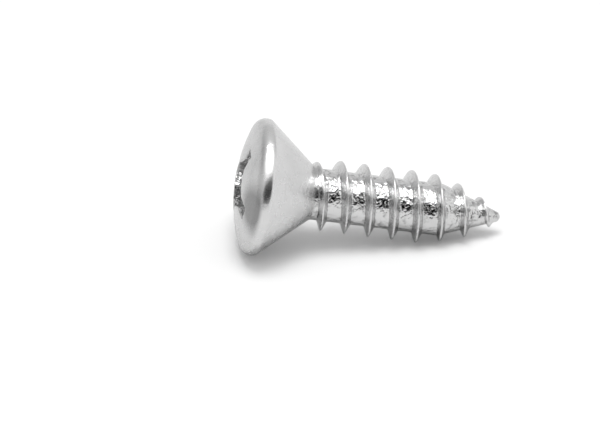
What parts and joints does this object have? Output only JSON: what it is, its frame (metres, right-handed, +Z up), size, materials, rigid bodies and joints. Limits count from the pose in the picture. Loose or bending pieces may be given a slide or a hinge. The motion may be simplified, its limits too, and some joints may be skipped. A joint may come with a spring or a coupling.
{
  "type": "sheet metal screw",
  "caption": "Zinc plated sheet metal screw with a raised countersunk head, cross recess, spaced full thread and gimlet point, lying on its side.",
  "frame": {"origin": "on the surface that the screw lies on, under the middle of its box", "axes": "+X runs along the lying screw from head to point, as seen from above, and +Z is up; the screw's own axis leans down to the point in the XZ plane"},
  "size_m": [0.0174, 0.009, 0.0089],
  "materials": {
    "zinc_plate": "satin"
  },
  "bodies": {
    "root": {"screw": "zinc_plate"}
  },
  "joints": []
}
